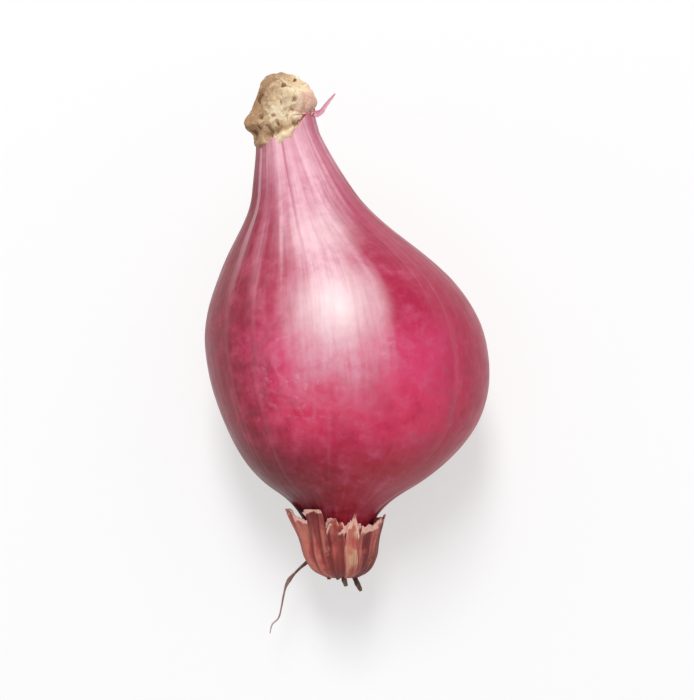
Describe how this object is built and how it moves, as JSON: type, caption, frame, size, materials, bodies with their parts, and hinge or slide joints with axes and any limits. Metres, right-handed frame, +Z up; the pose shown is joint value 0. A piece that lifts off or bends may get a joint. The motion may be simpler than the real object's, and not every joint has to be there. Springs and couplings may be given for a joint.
{
  "type": "red shallot",
  "caption": "Pear-shaped red shallot with a dried neck stump, torn papery skin round its root plate and wiry roots, lying on its side.",
  "frame": {"origin": "centre of the small flat spot that the bulb lies on, on the surface it rests on", "axes": "+Z up; +Y along the bulb from its root end to its neck; -X is the side that the neck leans to"},
  "size_m": [0.0386, 0.0746, 0.0349],
  "materials": {
    "fresh_skin": "smooth glossy crimson to pink onion skin with pale veins along it",
    "dry_stump": "matte tan, corky and pitted dried leaf bases",
    "corky_plate": "matte brown, rough cork",
    "papery_skin": "dry papery brown-red skin with salmon fibres and pale torn edges",
    "dry_root": "dry wiry dark brown"
  },
  "bodies": {
    "root": {"bulb": "fresh_skin", "dry_neck": "dry_stump", "root_plate": "corky_plate", "skin_flake_1": "papery_skin", "skin_flake_2": "papery_skin", "skin_flake_3": "papery_skin", "skin_flake_4": "papery_skin", "skin_flake_5": "papery_skin", "skin_flake_6": "papery_skin", "skin_flake_7": "papery_skin", "skin_flake_8": "papery_skin", "root_long": "dry_root", "root_stub_1": "dry_root", "root_stub_2": "dry_root", "root_stub_3": "dry_root", "root_stub_4": "dry_root"}
  },
  "joints": []
}
